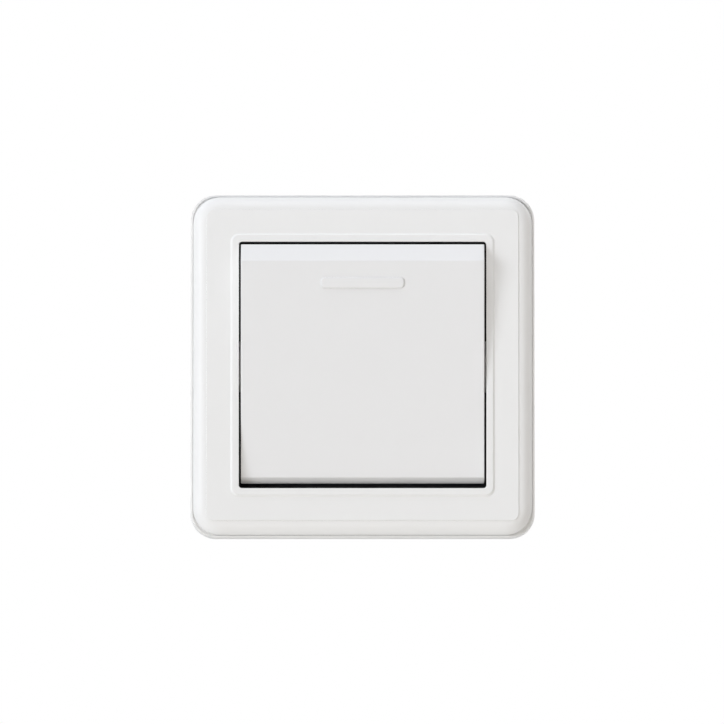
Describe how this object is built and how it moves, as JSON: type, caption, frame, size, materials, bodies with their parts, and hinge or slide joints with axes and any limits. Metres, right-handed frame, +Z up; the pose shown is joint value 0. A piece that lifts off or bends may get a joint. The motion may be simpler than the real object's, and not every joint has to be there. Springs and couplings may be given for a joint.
{
  "type": "two-way rocker light switch",
  "caption": "Square wall switch for lights: a wide tilting rocker in a rounded trim frame, with a change-over contact mechanism and screw clamps behind the wall.",
  "frame": {"origin": "on the wall's surface, midway between the two box-screw slots, which is the middle of the plate", "axes": "+Z up the wall, +X to the right seen from the room, -Y out of the wall towards the room"},
  "size_m": [0.086, 0.0337, 0.086],
  "materials": {
    "base_plastic": "semi-gloss moulded white",
    "carrier_plastic": "fine-grained moulded black",
    "frame_plastic": "semi-gloss moulded white",
    "housing_plastic": "fine-grained moulded off-white",
    "rocker_plastic": "semi-gloss moulded white",
    "actuator_plastic": "satin moulded off-white",
    "plunger_plastic": "self-lubricating moulded natural",
    "spring_steel": "drawn bright wire",
    "lever_copper": "rolled and stamped copper",
    "contact_silver": "bright silver alloy rivet",
    "terminal_brass": "rolled and stamped brass",
    "clamp_steel": "zinc-plated",
    "screw_steel": "zinc-plated"
  },
  "bodies": {
    "base": {"base_plate": "base_plastic", "module_carrier": "carrier_plastic", "trim_frame": "frame_plastic", "module_housing": "housing_plastic", "upper_fixed_contact": "contact_silver", "lower_fixed_contact": "contact_silver", "upper_terminal": "terminal_brass", "lower_terminal": "terminal_brass", "common_terminal": "terminal_brass", "common_clamp": "clamp_steel", "upper_clamp": "clamp_steel", "lower_clamp": "clamp_steel", "terminal_screws": "screw_steel", "housing_screws": "screw_steel"},
    "rocker": {"rocker": "rocker_plastic", "actuator": "actuator_plastic", "plunger_spring": "spring_steel"},
    "plunger": {"plunger": "plunger_plastic"},
    "lever": {"contact_lever": "lever_copper", "upper_moving_contact": "contact_silver", "lower_moving_contact": "contact_silver"}
  },
  "joints": [
    {"name": "rocker_tilt", "type": "hinge", "parent": "base", "child": "rocker", "pos_m": [0, 0.0016, 0], "axis": [1, 0, 0], "range_deg": [-12, 0]},
    {"name": "plunger_slide", "type": "slide", "parent": "rocker", "child": "plunger", "axis": [0, -0.9945, -0.1045], "range_m": [0, 0.0008], "stiffness_N_per_m": 300, "springref_m": -0.001, "deforming": ["plunger_spring"]},
    {"name": "lever_swing", "type": "hinge", "parent": "base", "child": "lever", "pos_m": [0, 0.01185, 0], "axis": [1, 0, 0], "range_deg": [0, 10]}
  ],
  "couplings": [
    {"joint": "lever_swing", "follows": "rocker_tilt", "ratio": -0.83333}
  ]
}
